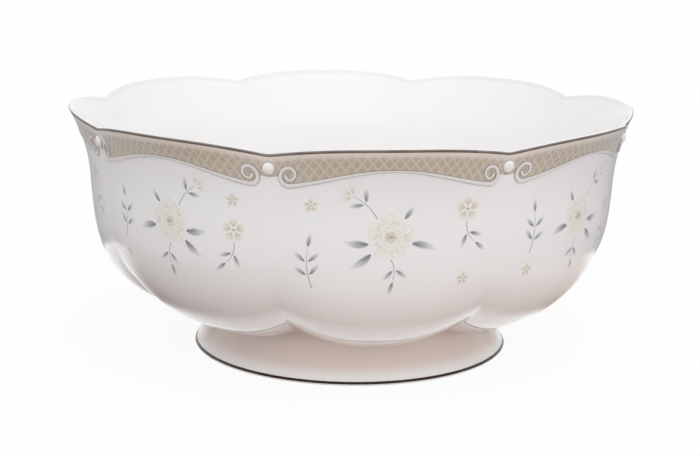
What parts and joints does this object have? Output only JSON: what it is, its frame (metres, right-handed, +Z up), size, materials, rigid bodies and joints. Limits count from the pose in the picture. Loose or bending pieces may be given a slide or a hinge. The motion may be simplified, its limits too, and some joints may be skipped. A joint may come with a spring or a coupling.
{
  "type": "serving bowl",
  "caption": "Lobed porcelain serving bowl with a flared, scalloped lip and fluted wall on a separate foot ring, with platinum lines, a trellis band and flower sprays.",
  "frame": {"origin": "middle of the foot, on the surface that the bowl stands on", "axes": "+Z up along the bowl's axis; the middles of lobes lie on +X, -X, +Y and -Y"},
  "size_m": [0.2506, 0.2506, 0.1094],
  "materials": {
    "porcelain": "gloss",
    "slip": "matte",
    "platinum": "polished",
    "trellis_enamel": "gloss",
    "relief_enamel": "gloss",
    "pearl_enamel": "gloss",
    "blossom_enamel": "gloss",
    "star_enamel": "gloss",
    "leaf_enamel": "gloss"
  },
  "bodies": {
    "root": {"bowl_body": "porcelain", "foot_ring": "porcelain", "luting_slip": "slip", "lip_line": "platinum", "foot_line": "platinum", "trellis_1": "trellis_enamel", "trellis_2": "trellis_enamel", "trellis_3": "trellis_enamel", "trellis_4": "trellis_enamel", "trellis_5": "trellis_enamel", "trellis_6": "trellis_enamel", "trellis_7": "trellis_enamel", "trellis_8": "trellis_enamel", "scroll_1": "relief_enamel", "scroll_2": "relief_enamel", "scroll_3": "relief_enamel", "scroll_4": "relief_enamel", "scroll_5": "relief_enamel", "scroll_6": "relief_enamel", "scroll_7": "relief_enamel", "scroll_8": "relief_enamel", "pearl_1": "pearl_enamel", "pearl_2": "pearl_enamel", "pearl_3": "pearl_enamel", "pearl_4": "pearl_enamel", "pearl_5": "pearl_enamel", "pearl_6": "pearl_enamel", "pearl_7": "pearl_enamel", "pearl_8": "pearl_enamel", "spray_1": "blossom_enamel", "spray_2": "blossom_enamel", "spray_3": "blossom_enamel", "spray_4": "blossom_enamel", "spray_5": "blossom_enamel", "spray_6": "blossom_enamel", "spray_7": "blossom_enamel", "spray_8": "blossom_enamel", "sprig_1": "star_enamel", "sprig_2": "star_enamel", "sprig_3": "star_enamel", "sprig_4": "star_enamel", "sprig_5": "star_enamel", "sprig_6": "star_enamel", "sprig_7": "star_enamel", "sprig_8": "star_enamel", "twig_1": "leaf_enamel", "twig_2": "leaf_enamel", "twig_3": "leaf_enamel", "twig_4": "leaf_enamel", "twig_5": "leaf_enamel", "twig_6": "leaf_enamel", "twig_7": "leaf_enamel", "twig_8": "leaf_enamel"}
  },
  "joints": []
}
